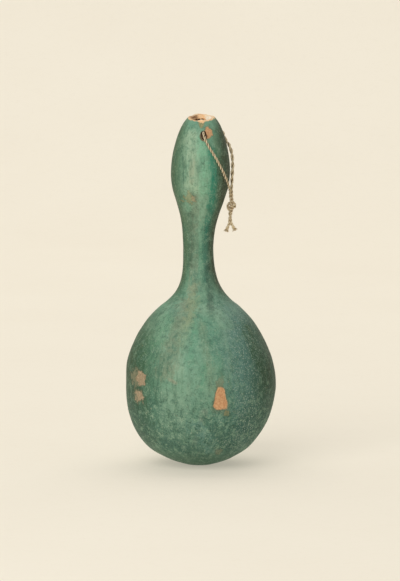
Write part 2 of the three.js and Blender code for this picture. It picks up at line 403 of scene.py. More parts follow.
def group_of(name, inputs, outputs, kind="ShaderNodeTree"):
    """A node group whose inputs have a kind or a first value. Returns it, its input wires and its ends."""
    tree = bpy.data.node_groups.new(name, kind)
    for label, given in inputs.items():
        socket = NUMBERS.get(type(given), given)
        made = tree.interface.new_socket(name=label, in_out="INPUT", socket_type=socket)
        if socket is not given:
            made.default_value = given
    for label, socket in outputs.items():
        tree.interface.new_socket(name=label, in_out="OUTPUT", socket_type=socket)
    inside = tree.nodes.new("NodeGroupInput")
    wires = [Wire(inside.outputs[label]) for label in inputs]
    return tree, wires, tree.nodes.new("NodeGroupOutput").inputs


def tree_named(name):
    """The named group or Geometry Nodes tree, made the first time that it is asked for."""
    return bpy.data.node_groups.get(name) or TREES[name](name)


def plain_material(name):
    """A material with nodes, the inputs of its shader and the place on the surface in millimetres."""
    material = bpy.data.materials.new(name)
    material.use_nodes = True
    tree = material.node_tree
    coords = put(tree, "ShaderNodeTexCoord").out("Object")
    return material, tree.nodes["Principled BSDF"].inputs, coords.vector("SCALE", Scale=1000.0)


def dull(shader, base, roughness, specular):
    """Colour, roughness and gloss of a dry surface."""
    feed_all(shader, {"Base Color": base, "Roughness": roughness, "Specular IOR Level": specular})


def relief(shader, height):
    """Relief on a shader, with its height in millimetres."""
    bump = put(height.tree, "ShaderNodeBump", None, {"Strength": 1.0, "Distance": MM, "Height": height})
    feed(shader["Normal"], bump)


# Effects shared by materials.

def speckle_group(name):
    """Fine light and dark speckle, as of a brush on a dry, porous skin."""
    inputs = {"Place": VECTOR, "Grain": 1.0, "Bias": 0.5}
    tree, (place, grain, bias), ends = group_of(name, inputs, {"Light": FLOAT, "Dark": FLOAT})
    both = place.cloud(0.23 / grain, 2.0) * 0.45 + place.cloud(0.9 / grain, 4.0, 0.62) * 0.75
    middle = bias + 0.1
    feed_all(ends, {"Light": (both - middle).ease(0.03, 0.16), "Dark": (middle - both).ease(0.03, 0.16)})
    return tree


def fibre_group(name):
    """Fine fibres along the first axis of the place given."""
    inputs = {"Place": VECTOR, "Fineness": 1.0, "Length": 12.0}
    tree, (place, fine, length), ends = group_of(name, inputs, {"Fibre": FLOAT, "Tuft": FLOAT})
    x, y, z = place.parts()
    drawn = joined(tree, {0: x / length, 1: y, 2: z})
    feed_all(ends, {
        "Fibre": drawn.cloud(fine, 4.0, 0.6, 0.3).ease(0.36, 0.66),
        "Tuft": drawn.cloud(fine * 0.22, 2.0).ease(0.35, 0.65),
    })
    return tree


def chip_group(name):
    """One worn place in the paint: a ragged patch at a height, turned round the gourd."""
    tree, inside, ends = group_of(name, {
        "Place": VECTOR, "Side": 0.0, "Height": 0.0, "Half Width": 3.0, "Half Height": 3.0,
        "Turn": 0.0, "Taper": 0.0, "Ragged": 0.5, "Squareness": 2.2,
    }, {"Mask": FLOAT, "Edge": FLOAT})
    place, side, height, wide, tall, turn, taper, ragged, square = inside
    x, y, z = spun(place, "Z_AXIS", turn).parts()
    up = (z - height) / tall
    across = (x - side) / (wide * (1.0 - up * taper).math("MAXIMUM", 0.15))
    both = up.math("ABSOLUTE").math("POWER", square) + across.math("ABSOLUTE").math("POWER", square)
    torn = place.cloud(0.26, 2.0) * 0.6 + place.cloud(0.8, 4.0, 0.65) * 0.4
    far = (torn - 0.5) * ragged * 3.4 + both.math("POWER", 1.0 / square)
    front = y.ease(0.0, -3.0)
    mask = far.ease(1.08, 0.92) * front
    halo = far.ease(1.5, 1.0) * front
    feed_all(ends, {"Mask": mask, "Edge": halo.math("SUBTRACT", mask, clamp=True)})
    return tree


def lane_group(name):
    """A long soft brush lane down the front, between two points, broken along its length."""
    tree, inside, ends = group_of(name, {
        "Place": VECTOR, "Top": VECTOR, "Bottom": VECTOR, "Half Width": 5.0, "Broken": 0.5,
    }, {"Lane": FLOAT})
    place, top, bottom, wide, broken = inside
    flat = place.vector("MULTIPLY", (1.0, 0.0, 1.0))
    run = bottom.vector("SUBTRACT", top)
    across = flat.vector("SUBTRACT", top).vector("DOT_PRODUCT", run)
    share = across.math("DIVIDE", run.vector("DOT_PRODUCT", run), clamp=True)
    foot = top.vector("ADD", run.vector("SCALE", Scale=share))
    hairs = place.stretched((1.0, 1.0, 0.09)).cloud(0.45, 4.0, 0.62) - 0.5
    gap = hairs * broken * 3.2 + flat.vector("DISTANCE", foot) / wide
    front = place.parts()[1].ease(4.0, -8.0)
    feed(ends["Lane"], gap.ease(1.35, 0.35) * front)
    return tree


# Brush lanes: top and bottom as side and height, half width, brokenness, strength, colour.
LANES = [
    ((-5.5, 158.0), (-12.0, 130.0), 4.6, 0.7, 0.60, (142, 146, 118)),
    ((-14.0, 136.0), (-31.0, 88.0), 9.5, 1.0, 0.58, (124, 134, 110)),
    ((-6.0, 143.0), (-15.0, 112.0), 5.5, 0.9, 0.55, (138, 160, 126)),
    ((0.0, 124.0), (9.5, 74.0), 4.5, 0.9, 0.42, (130, 148, 120)),
    ((-6.0, 112.0), (-2.0, 32.0), 10.0, 1.1, 0.60, (116, 160, 136)),
    ((-5.0, 124.0), (-10.0, 96.0), 4.0, 0.9, 0.38, (92, 152, 120)),
    ((2.5, 92.0), (1.0, 72.0), 3.2, 0.8, 0.40, (92, 150, 120)),
    ((-44.0, 108.0), (-56.0, 84.0), 7.0, 1.0, 0.50, (88, 142, 112)),
    ((-30.0, 128.0), (-44.0, 100.0), 7.0, 1.0, 0.50, (102, 154, 122)),
    ((3.0, 54.0), (-5.0, 27.0), 3.4, 1.0, 0.58, (132, 142, 126)),
    ((-57.0, 62.0), (-44.0, 26.0), 8.5, 1.1, 0.62, (62, 90, 62)),
    ((-30.0, 24.0), (4.0, 14.0), 6.0, 1.1, 0.58, (56, 92, 82)),
    ((12.0, 36.0), (22.0, 20.0), 7.5, 1.1, 0.55, (60, 94, 78)),
    ((-4.0, 40.0), (9.0, 20.0), 6.5, 1.2, 0.80, (128, 170, 156)),
    ((36.0, 44.0), (26.0, 22.0), 7.0, 1.1, 0.45, (54, 86, 76)),
    ((40.0, 118.0), (61.0, 66.0), 5.5, 0.9, 0.55, (62, 92, 58)),
    ((-27.4, 80.8), (-21.4, 78.2), 1.7, 0.5, 0.75, (150, 156, 132)),
    # A pale lane on the left of the head, where its highlight falls: painted highlight.
    ((-8.5, 282.0), (-7.0, 240.0), 7.5, 0.7, 0.68, (162, 188, 158)),
    ((-7.0, 262.0), (-8.0, 246.0), 3.0, 0.6, 0.3, (150, 150, 126)),
    ((-5.0, 232.0), (-6.5, 165.0), 4.0, 0.7, 0.55, (120, 134, 112)),
    ((2.0, 280.0), (4.5, 238.0), 6.0, 0.8, 0.72, (130, 184, 152)),
    # Viridian lanes down the right of the head, where it turns from light into shade, and a dark olive lane
    # at its right edge: painted shade.
    ((8.6, 271.0), (12.2, 247.0), 4.0, 0.7, 0.74, (46, 132, 108)),
    ((12.2, 247.0), (8.6, 221.0), 4.4, 0.7, 0.80, (44, 130, 106)),
    ((8.6, 221.0), (4.4, 199.0), 3.7, 0.7, 0.74, (46, 124, 102)),
    ((17.8, 263.0), (15.6, 234.0), 3.6, 0.8, 0.60, (60, 74, 48)),
    ((5.5, 206.0), (4.0, 160.0), 3.4, 0.8, 0.62, (52, 108, 92)),
    ((-9.8, 216.0), (-9.6, 172.0), 3.8, 0.8, 0.62, (80, 102, 82)),
    ((6.2, 172.0), (8.0, 138.0), 3.4, 0.8, 0.60, (64, 90, 76)),
    ((14.0, 286.0), (15.5, 262.0), 4.6, 0.6, 0.35, (96, 118, 84)),
]

# Worn places: side, height, half width, half height, turn in degrees, taper, raggedness, squareness,
# depth of wear and kind.
CHIPS = [
    (16.4, 77.6, 3.0, 6.0, 0, 0.1, 1.1, 2.0, 0.45, "stain"),
    (16.4, 65.0, 4.9, 9.7, 0, 0.36, 0.16, 4.2, 1.0, "rind"),
    (21.4, 51.8, 2.2, 2.8, 0, 0.0, 0.8, 2.0, 0.55, "ochre"),
    (-55.0, 78.8, 4.4, 7.4, 0, 0.0, 1.1, 2.0, 0.75, "stain"),
    (-50.8, 78.6, 3.9, 5.5, 0, -0.1, 0.9, 2.4, 0.9, "tan"),
    (-52.6, 63.4, 4.4, 5.6, 0, 0.1, 1.1, 2.0, 0.6, "stain"),
    (-52.2, 63.6, 3.2, 4.5, 0, 0.1, 1.1, 2.2, 0.85, "tan"),
    (14.8, 16.0, 2.8, 3.4, 0, -0.2, 1.0, 2.0, 0.45, "stain"),
    (-9.4, 231.0, 5.0, 4.2, 0, 0.0, 1.7, 2.0, 0.48, "ochre"),
    (-6.2, 230.4, 1.6, 2.8, 0, 0.0, 1.3, 2.0, 0.45, "tan"),
    (0.2, 294.0, 2.3, 3.2, 0, -0.2, 0.6, 2.2, 0.75, "ochre"),
    (6.5, 286.3, 2.95, 4.5, 0, -0.2, 0.75, 2.4, 0.95, "rind"),
    (4.0, 74.0, 5.2, 8.0, 118, 0.3, 0.6, 3.0, 0.9, "rind"),
    (-6.0, 48.0, 3.4, 2.8, 160, 0.0, 0.9, 2.2, 0.8, "rind"),
    (9.0, 96.0, 2.6, 3.8, 196, 0.0, 0.9, 2.2, 0.6, "rind"),
    (-3.0, 60.0, 6.2, 7.0, 228, -0.3, 0.7, 2.6, 0.95, "rind"),
    (2.0, 244.0, 2.6, 4.0, 150, 0.0, 1.2, 2.2, 0.6, "ochre"),
    (0.0, 28.0, 3.6, 3.2, 260, 0.0, 1.0, 2.2, 0.6, "rind"),
]


# Finishes.

def highest(wires):
    """The largest of several wires."""
    top = wires[0]
    for wire in wires[1:]:
        top = top.math("MAXIMUM", wire)
    return top


def worn_places(base, place, coarse, rind):
    """Chips and stains in a paint colour, with a darker lip of paint. Returns it, their masks and lips."""
    ground = coarse.ease(0.35, 0.68)
    kinds = {
        "rind": mix(ground, "brown rind", rind), "ochre": mix(ground, "dark ochre", "pale ochre"),
        "stain": mix(ground, "dark stain", "pale stain"), "tan": mix(ground, "dark tan", "pale tan"),
    }
    masks, lips = [], []
    for side, height, wide, tall, turn, taper, ragged, square, depth, kind in CHIPS:
        worn = place.group("Worn Place", {
            "Side": side, "Height": height, "Half Width": wide, "Half Height": tall,
            "Turn": math.radians(-turn), "Taper": taper, "Ragged": ragged, "Squareness": square,
        })
        masks.append(worn * depth)
        lips.append(worn.out("Edge") * (0.45 * depth))
        base = glaze(base, (lips[-1], "paint lip"), (masks[-1], kinds[kind]))
    return base, masks, lips


def worn_edges(base, place, coarse):
    """Rubbed rims of the string holes, and paint stopping short of the sawn mouth. Returns it and masks."""
    x, y, z = place.parts()
    masks = []
    rim_height = 0.62
    flat = place.stretched((1.0, 1.0, rim_height))
    for middle, _, _ in HOLES:
        centre = (middle[0] - 0.2, middle[1], (middle[2] - 0.4) * rim_height)
        ring = ((coarse - 0.5) * 1.4 + flat.vector("DISTANCE", centre)).ease(3.7, 3.0)
        base = mix(ring * 0.85, base, "rubbed rim")
        masks.append(ring * 0.5)
    lip = (x - 0.9).math("ABSOLUTE").ease(3.0, 0.6) * y.ease(0.0, -4.0)
    sawn = ((place.cloud(0.5, 4.0) - 0.5) * 2.2 + (z - y * MOUTH_RISE) + lip).ease(297.3, 297.8)
    return mix(sawn, base, "sawn edge"), masks + [sawn]


def skin_height(place, broad, run):
    """Relief of the painted skin: brush marks, blotches, pores and faint craze lines."""
    blotch = place.cloud(0.15, 4.0, 0.62, 0.7)
    shaken = put(place.tree, "ShaderNodeTexNoise", None, {"Vector": place, "Scale": 0.3}).out(1)
    cells = put(place.tree, "ShaderNodeTexVoronoi", {"feature": "DISTANCE_TO_EDGE"}, {
        "Vector": place.vector("ADD", shaken.vector("SCALE", Scale=3.0)), "Scale": 0.13,
    })
    craze = cells.ease(0.03, 0.0) * blotch.ease(0.42, 0.6)
    pits = place.cloud(0.62, 3.0).ease(0.38, 0.28)
    brushed = place.cloud(1.3, 4.0, 0.6) * 0.10 + broad * 0.4 + blotch * 0.16 + run * 0.12
    return brushed - pits * 0.14 - craze * 0.10


def painted_skin(name):
    """Thin blue-green paint, weathered, over a dry woody rind."""
    look = bpy.context.scene.gourd_look
    material, shader, place = plain_material(name)
    x, _, z = place.parts()

    # Broad drifts of light sage and deep viridian, longer up and down than across.
    broad = place.stretched((1.0, 1.0, 0.42)).cloud(0.030, 3.0, 0.5, 0.4)
    drift = place.stretched((1.0, 1.0, 0.45)).cloud(0.055, 4.0, 0.6, 0.6)
    run = place.stretched((1.0, 1.0, 0.16)).cloud(0.30, 4.0, 0.6, 0.3)
    mottle = place.cloud(0.16, 5.0, 0.62, 0.5)
    belly = z.ease(168.0, 130.0)
    wander = drift * 64.0 + x - 32.0
    base = glaze(
        mix(broad.ease(0.36, 0.66), look.paint_light[:], look.paint_mid[:]),
        # Deeper, bluer paint over the right of the belly: partly the paint's own tone, partly painted shade
        # on the side away from the light.
        (wander.ease(0.0, 36.0) * belly * 0.88, look.paint_deep[:]),
        (drift.ease(0.50, 0.66) * 0.5, "leaf green"),
    )
    for (top_x, top_z), (foot_x, foot_z), wide, broken, strength, colour in LANES:
        lane = place.group("Brushed Lane", {
            "Top": (top_x, 0.0, top_z), "Bottom": (foot_x, 0.0, foot_z), "Half Width": wide, "Broken": broken,
        })
        share = lane * mottle.ease(0.34, 0.56, 0.5 * strength, 1.15 * strength)
        base = mix(share, base, tint(*colour))

    # Painted shade on both flanks, olive on the neck and greener on the belly, darkest at the very edges.
    flank = attribute(place.tree, "flank")
    leaning = drift * 0.3 + flank - 0.15
    far_right = leaning.ease(belly * 0.05 + 0.46, 0.93)
    base = glaze(
        base,
        (far_right * 0.92, mix(belly, "olive painted shade", "green painted shade")),
        (leaning.ease(-0.44, -0.94) * 0.92, mix(belly, "dull painted shade", "shaded green")),
        (flank.math("ABSOLUTE").ease(0.80, 1.0) * 0.40, "painted edge shade"),
    )

    # Painted shade low down and on the left, and soft blotches, thicker and darker towards the bottom and
    # calmer on the head.
    low = (drift * 40.0 + z).ease(108.0, 50.0)
    calm = z.ease(200.0, 230.0, 1.0, 0.45)
    spots = place.cloud(0.23, 3.0, 0.5, 0.3)
    base = glaze(
        base,
        # Painted shade deepening towards the bottom.
        (low * 0.55, "painted low shade"),
        (mottle.ease(0.50, 0.36) * low.ease(0.0, 1.0, 0.38, 0.72) * calm, "deep mottle"),
        (spots.ease(0.52, 0.66) * low.ease(0.0, 1.0, 0.24, 0.56) * calm, "pale mottle"),
        # Dark brush streaks all over, stronger towards the left flank, where they are painted shade.
        (run.ease(0.50, 0.38) * leaning.ease(-0.20, -0.70, 0.28, 0.62), "streaks and painted shade"),
        # Painted shade on the underside, near the floor.
        (z.ease(22.0, 4.0) * 0.75, "painted underside shade"),
    )

    # Speckle of pores and dry brush, with fine pale stipple on the right.
    light = place.group("Speckle", {"Grain": 1.1, "Bias": 0.5})
    stipple = place.cloud(0.85, 1.5, 0.5).ease(0.56, 0.68) * wander.ease(4.0, 40.0, 0.12, 0.70)
    base = glaze(
        base,
        (light * low.ease(0.0, 1.0, 0.38, 0.60), "pale pore"),
        (light.out("Dark") * low.ease(0.0, 1.0, 0.42, 0.78), "dark pore"),
        (stipple * far_right.ease(0.35, 1.0, 1.0, 0.35), "stipple"),
        (place.cloud(0.55, 2.0).ease(0.70, 0.78) * 0.5, "tan fleck"),
    )

    # Wear, the dried blossom scar in the middle of the flat spot, and sheen.
    coarse = place.cloud(0.7, 5.0, 0.65)
    base, chipped, lips = worn_places(base, place, coarse, look.rind[:])
    base, rubbed = worn_edges(base, place, coarse)
    wear = highest(chipped + rubbed)
    scar = (coarse - 0.5) * 2.4 + place.vector("DISTANCE", (-1.5, 0.4, 0.0))
    base = glaze(base, (scar.ease(10.5, 7.0) * 0.6, "scar rim"), (scar.ease(3.4, 2.4), "scar"))
    dull(shader, base, (light * 0.12 + (broad * 0.22 + 0.46)).math("MAXIMUM", wear * 0.86), 0.22)
    relief(shader, skin_height(place, broad, run) - wear * 0.30 + highest(lips) * 0.10)
    return material


def bare_rind(name):
    """The sawn and drilled faces: pale, fibrous, creamy with peach and brown places."""
    material, shader, place = plain_material(name)
    x, _, z = place.parts()
    fibre = place.group("Fibres", {"Fineness": 1.4, "Length": 3.0})
    patch = place.cloud(0.16, 3.0, 0.6)
    base = glaze(
        mix(patch.ease(0.4, 0.62), "cream rind", "peach rind"),
        (fibre * 0.35, "pale fibre"),
        ((patch * 8.0 + x).ease(0.5, -4.0) * 0.42, "left brown"),
        (z.ease(293.0, 291.0) * (patch * 2.0 + x).ease(2.4, 4.2, 0.35, 0.9), "bored brown"),
    )
    dull(shader, base, 0.88, 0.2)
    relief(shader, fibre * 0.16 + patch * 0.3)
    return material


def dried_pith(name):
    """The inside: dry spongy pith, tan with brown membranes and pale ribs."""
    material, shader, place = plain_material(name)
    x, _, z = place.parts()
    fibre = spun(place, "Y_AXIS", math.pi / 2).group("Fibres", {"Fineness": 0.8, "Length": 7.0})
    patch = place.cloud(0.12, 4.0, 0.65, 0.6)
    swayed = patch * 5.0 + x - 2.5
    peach, cream = mix(fibre, "peach", "pale peach"), mix(fibre, "cream", "pale cream")
    base = glaze(
        mix(patch.ease(0.38, 0.6), "tan pith", "brown pith"),
        (fibre * 0.45, "straw pith"),
        (fibre.out("Tuft") * 0.25, "membrane"),
        # Under the mouth the pith turns peach, and cream further right, while it stays brown on the left:
        # painted light on the inner wall.
        (z.ease(284.0, 292.0) * swayed.ease(-3.6, -1.4), mix(swayed.ease(2.6, 5.4), peach, cream)),
    )
    dull(shader, base, 0.93, 0.15)
    relief(shader, fibre * 0.35 + patch * 0.9)
    return material


def twine_finish(name):
    """Two-ply twine: straw fibres wound along each ply, brown painted shade in the grooves and the knot's
    creases, soiled here and there.
    """
    look = bpy.context.scene.gourd_look
    material, shader, place = plain_material(name)
    groove, crease = attribute(place.tree, "groove"), attribute(place.tree, "crease")
    wound = put(place.tree, "ShaderNodeUVMap", {"uv_map": "TwineUV"}).stretched((3.2, 9.0, 1.0))
    lines = wound.stretched((0.35, 1.0, 1.0), 0.55).cloud(1.6, 4.0, 0.62)
    base = glaze(
        mix(lines.ease(0.36, 0.64), look.twine_deep[:], look.twine_light[:]),
        (place.cloud(0.22, 3.0, 0.6).ease(0.52, 0.66) * 0.4, "soiled twine"),
        # Brown painted shade in the grooves between the plies and in the creases of the knot.
        (groove.ease(0.47, 0.72) * 0.85, "painted groove shade"),
        (crease.ease(0.1, 0.8) * 0.65, "painted knot shade"),
    )
    dull(shader, base, 0.9, 0.2)
    feed_all(shader, {"Sheen Weight": 0.25, "Sheen Roughness": 0.5})
    relief(shader, lines * 0.22 - groove * 0.1)
    return material


def loose_fibre(name):
    """Single plant fibres, each a little lighter or darker than the next."""
    material, shader, place = plain_material(name)
    fibre = place.group("Fibres", {"Fineness": 0.9, "Length": 2.0})
    dull(shader, mix(fibre, "dark " + name, "pale " + name), 0.85, 0.2)
    return material


def paper_floor(name):
    """Plain warm-white ground with the faintest mottling."""
    material, shader, place = plain_material(name)
    grain = place.group("Speckle", {"Grain": 2.4, "Bias": 0.5})
    base = glaze(
        bpy.context.scene.gourd_look.ground[:],
        (place.cloud(0.004, 3.0), "warm paper"),
        (grain.out("Dark") * 0.05, "paper fleck"),
    )
    dull(shader, base.vector("SCALE", Scale=0.55), 0.95, 0.1)
    feed_all(shader, {"Emission Color": base, "Emission Strength": 0.39})
    return material


FINISHES = {
    "worn_paint": painted_skin, "sawn_rind": bare_rind, "dried_pith": dried_pith, "pale_ground": paper_floor,
    "two_ply_twine": twine_finish, "twine_fibre": loose_fibre, "pith_fibre": loose_fibre,
}


def finish_named(name):
    """The named finish, made the first time that it is asked for."""
    return bpy.data.materials.get(name) or FINISHES[name](name)


# Geometry Nodes trees.

def closed(tree, geometry, finish, ends):
    """Ends a tree in plain geometry with its finish."""
    real = put(tree, "GeometryNodeRealizeInstances", None, {"Geometry": geometry})
    feed(ends[0], put(tree, "GeometryNodeSetMaterial", None, {"Geometry": real, "Material": finish}))
    return tree


def growth_tree(name):
    """Grows the shell from its outline: turned round the axis, swollen, bent and sawn at a slant."""
    tree, inside, ends = group_of(name, {
        "Outline": GEOMETRY, "Segments": 256, "Rings": 2, "Swelling": 0.007, "Mouth Slant": MOUTH_RISE,
        "Mouth Wave": 0.0003, "Skin": MATERIAL,
    }, {"Shell": GEOMETRY}, "GeometryNodeTree")
    outline, segments, rings, swelling, slant, wave, skin = inside
    grid = put(tree, "GeometryNodeMeshGrid", None, {
        "Size X": 1.0, "Size Y": 1.0, "Vertices X": segments + 1, "Vertices Y": rings,
    })
    across, up, _ = put(tree, "GeometryNodeInputPosition").parts()
    turn = (across + 0.5) * (2 * math.pi)
    row = ((up + 0.5) * (rings - 1)).math("ROUND")

    def read(column):
        """A value of the outline at this ring."""
        field = put(tree, "GeometryNodeInputNamedAttribute", {"data_type": "FLOAT"}, {"Name": column})
        return put(tree, "GeometryNodeSampleIndex", {"data_type": "FLOAT", "domain": "POINT"}, {
            "Geometry": outline, "Value": field, "Index": row,
        })

    radius, lift = read("radius"), read("lift")
    wide = radius * ((turn * 3).math("SINE") * swelling + 1.0)
    x = turn.math("COSINE") * wide + read("bend_x")
    y = turn.math("SINE") * wide + read("bend_y")
    ripple = (turn * 7).math("SINE") * 0.6 + (turn * 4 + 1.0).math("SINE")
    ripple = ripple * wave * (radius / 0.006).math("MINIMUM", 1.0)
    z = (y * slant + ripple * lift) * lift + read("height")
    marked = put(tree, "GeometryNodeStoreNamedAttribute", {"data_type": "FLOAT", "domain": "POINT"}, {
        "Geometry": grid, "Name": "zone", "Value": read("zone"),
    })
    grown = put(tree, "GeometryNodeSetPosition", None, {
        "Geometry": marked, "Position": joined(tree, {0: x, 1: y, 2: z}),
    })
    welded = put(tree, "GeometryNodeMergeByDistance", None, {"Geometry": grown, "Distance": WELD})
    return closed(tree, welded, skin, ends)


def chance(low, high, seed):
    """Random number for each fibre."""
    made = put(seed.tree, "FunctionNodeRandomValue", {"data_type": "FLOAT"}, {"Seed": seed})
    node = made.socket.node
    limits = [socket for socket in node.inputs if socket.type == "VALUE" and socket.name in ("Min", "Max")]
    feed(limits[0], low)
    feed(limits[1], high)
    return Wire([socket for socket in node.outputs if socket.type == "VALUE"][0])


def slants(spread, turn, seed):
    """Random leanings by the first two axes and a random amount by the third."""
    return joined(seed.tree, {
        0: chance(spread * -1.0, spread, seed + 3),
        1: chance(spread * -1.0, spread, seed + 5),
        2: chance(-turn, turn, seed + 7),
    })


def turned(rotation, by):
    """A rotation turned further about its own axes."""
    return put(by.tree, "FunctionNodeRotateRotation", {"rotation_space": "LOCAL"}, {0: rotation, 1: by})


def planted(points, rotation, smallest, stalk, seed):
    """Thin curved fibres of mixed sizes, standing on every point."""
    tree = seed.tree
    length, thickness, bend = stalk
    arc = put(tree, "GeometryNodeCurveQuadraticBezier", None, {
        "Resolution": 5, "Start": (0.0, 0.0, 0.0), "Middle": joined(tree, {2: length * 0.6}),
        "End": joined(tree, {0: length * bend, 2: length}),
    })
    ring = put(tree, "GeometryNodeCurvePrimitiveCircle", None, {"Resolution": 3, "Radius": thickness})
    fibre = put(tree, "GeometryNodeCurveToMesh", None, {
        "Curve": arc, "Profile Curve": ring, "Fill Caps": True,
    })
    return put(tree, "GeometryNodeInstanceOnPoints", None, {
        "Points": points, "Instance": fibre, "Rotation": rotation, "Scale": chance(smallest, 1.0, seed + 11),
    })


def stray_tree(name):
    """Loose fibres standing off a surface at random places and slants."""
    tree, inside, ends = group_of(name, {
        "Surface": GEOMETRY, "Density": 1e5, "Length": 0.001, "Thickness": 0.00004, "Slant": 1.0, "Seed": 1,
        "Finish": MATERIAL,
    }, {"Fibres": GEOMETRY}, "GeometryNodeTree")
    surface, density, length, thickness, slant, seed, finish = inside
    dots = put(tree, "GeometryNodeDistributePointsOnFaces", {"distribute_method": "RANDOM"}, {
        "Mesh": surface, "Density": density, "Seed": seed,
    })
    aim = turned(dots.out("Rotation"), slants(slant, math.pi, seed))
    return closed(tree, planted(dots, aim, 0.4, (length, thickness, 0.35), seed), finish, ends)


def fray_tree(name):
    """A frayed string end: fibres fanning out from the points of the end."""
    tree, inside, ends = group_of(name, {
        "Ends": GEOMETRY, "Direction": VECTOR, "Length": 0.004, "Thickness": 0.0001, "Spread": 0.45,
        "Seed": 1, "Finish": MATERIAL,
    }, {"Fibres": GEOMETRY}, "GeometryNodeTree")
    points, direction, length, thickness, spread, seed, finish = inside
    fanned = direction.vector("ADD", slants(spread, 0.15, seed))
    upright = put(tree, "FunctionNodeAlignRotationToVector", {"axis": "Z"}, {"Vector": fanned})
    aim = turned(upright, joined(tree, {2: chance(-math.pi, math.pi, seed + 9)}))
    return closed(tree, planted(points, aim, 0.55, (length, thickness, 0.28), seed), finish, ends)


TREES = {
    "Speckle": speckle_group, "Fibres": fibre_group, "Worn Place": chip_group, "Brushed Lane": lane_group,
    "Gourd Growth": growth_tree, "Stray Fibres": stray_tree, "Frayed End": fray_tree,
}


# Meshes.

def placed(name, data):
    """An object in the scene."""
    made = bpy.data.objects.new(name, data)
    bpy.context.scene.collection.objects.link(made)
    return made


def evaluated_mesh(thing):
    """A plain mesh of an object with its modifiers carried out."""
    bpy.context.view_layer.update()
    graph = bpy.context.evaluated_depsgraph_get()
    done = thing.evaluated_get(graph)
    return bpy.data.meshes.new_from_object(done, preserve_all_data_layers=True, depsgraph=graph)


def from_tree(name, tree_name, mesh, values):
    """A plain mesh object made by a named tree from a source mesh and named inputs."""
    tree = tree_named(tree_name)
    source = placed(name + "_source", mesh)
    modifier = source.modifiers.new("build", "NODES")
    modifier.node_group = tree
    for item in tree.interface.items_tree:
        if item.item_type == "SOCKET" and item.in_out == "INPUT" and item.name in values:
            modifier[item.identifier] = values[item.name]
    source.update_tag()
    result = evaluated_mesh(source)
    bpy.data.objects.remove(source)
    result.name = name
    if not result.polygons:
        raise RuntimeError(name + " came out empty")
    return placed(name, result)


def mesh_of(name, points, faces=(), edges=()):
    """A mesh from lists."""
    mesh = bpy.data.meshes.new(name)
    mesh.from_pydata([tuple(p) for p in points], list(edges), [tuple(f) for f in faces])
    mesh.update()
    return mesh


def read_all(items, name, width):
    """A vector, or a row of one number, for every item of a mesh."""
    values = np.zeros(len(items) * width, np.float32)
    items.foreach_get(name, values)
    return values.reshape(-1, width)


def write_column(mesh, name, values):
    """A number kept with each point of a mesh."""
    made = mesh.attributes.new(name, "FLOAT", "POINT")
    made.data.foreach_set("value", np.asarray(values, np.float32))


def smooth_shaded(mesh):
    """Shades every face smoothly."""
    mesh.polygons.foreach_set("use_smooth", np.ones(len(mesh.polygons), bool))


def quads(rings, around, start=0):
    """Faces between rings of points that follow each other."""
    faces = []
    for ring in range(start, start + (rings - 1) * around, around):
        for k in range(around):
            a, b = ring + k, ring + (k + 1) % around
            faces.append((a, b, b + around, a + around))
    return faces


def bent(height):
    """Shift of the fruit's axis to the side and to the back at a height."""
    return from_table(BEND, 1, height), from_table(BEND, 2, height)


def lifted(height):
    """How far a height follows the slant of the mouth, 0 to 1."""
    return float(smooth(height, SLANT_FROM, MOUTH_HEIGHT))


# Pieces.

def outline_rows():
    """Radius, height and zone of each ring of the shell: skin, sawn face, pith."""
    line = spline([(r, z, 0.0) for r, z in OUTLINE], 24)[:, :2]
    s = along(line)
    end = s[-1]
    # Foot, body, the head below the mouth and the last stretch up to the sawn edge.
    outer = read_at(line, s, steps((0, 8, end - 34, end - 6, end - 0.6), (6, 150, 24, 8)))
    tangent = unit(np.stack([np.gradient(line[:, k], s) for k in range(2)], 1))
    wall = np.interp(line[:, 1], (0.0, WAIST_HEIGHT, MOUTH_HEIGHT), WALLS)
    shifted = line + wall[:, None] * np.stack([-tangent[:, 1], tangent[:, 0]], 1)
    within = s[(shifted[:, 1] > INSIDE[0]) & (shifted[:, 1] < INSIDE[1])]
    # Finer rings in the head than in the body.
    inner = read_at(shifted, s, steps((within[-1], within[-1] - 30, within[0]), (22, 73)))
    rows = FOOT_RINGS + [(r, z, SKIN) for r, z in outer] + MOUTH_RINGS + [(r, z, PITH) for r, z in inner]
    return rows + [(inner[-1][0] * share, z, PITH) for share, z in FLOOR_RINGS]


def rough(place, amount, size, seed):
    """Small shift from smooth noise."""
    return amount * noise.noise(Vector(place) / size + Vector((seed, 0.0, 0.0)))


def torn_pith(places):
    """Inward shift of the ragged pith left hanging under the mouth, widest at the right and back."""
    shifts = np.zeros_like(places)
    for i, place in enumerate(places):
        p = place * 1000.0
        if p[2] < 290:
            continue
        level = p[2] - MOUTH_RISE * p[1]
        hang = float(smooth(level, 292.8, 294.6) * (1 - smooth(level, 295.4, 297.4)))
        turn = math.atan2(p[1], p[0])
        reach = 0.5 + 0.5 * math.cos(turn - 0.5)
        reach = 1.2 + 3.3 * reach + rough(p, 2.2, 2.6, 21.0) + rough(p, 0.9, 0.9, 23.0)
        far = math.hypot(p[0], p[1])
        inward = hang * min(reach, far - 3.0)
        shifts[i, :2] = -p[:2] / far * inward * MM
        shifts[i, 2] = rough(p, 0.5, 1.6, 25.0) * hang * MM
    return shifts


def unevenness(p, zone):
    """Shift of a point along its normal, in millimetres, for its place and zone."""
    foot = min(1.0, p[2] / 6.0)
    if zone == SKIN:
        return foot * (rough(p, 0.45, 34.0, 3.0) + rough(p, 0.16, 9.0, 5.0))
    if zone == SAWN:
        return rough(p, 0.30, 3.2, 8.0) + rough(p, 0.14, 1.1, 9.0)
    if foot < 1.0:
        return 0.0
    return min(0.2 + rough(p, 0.7, 6.0, 12.0) + rough(p, 0.3, 2.0, 14.0), 0.9)


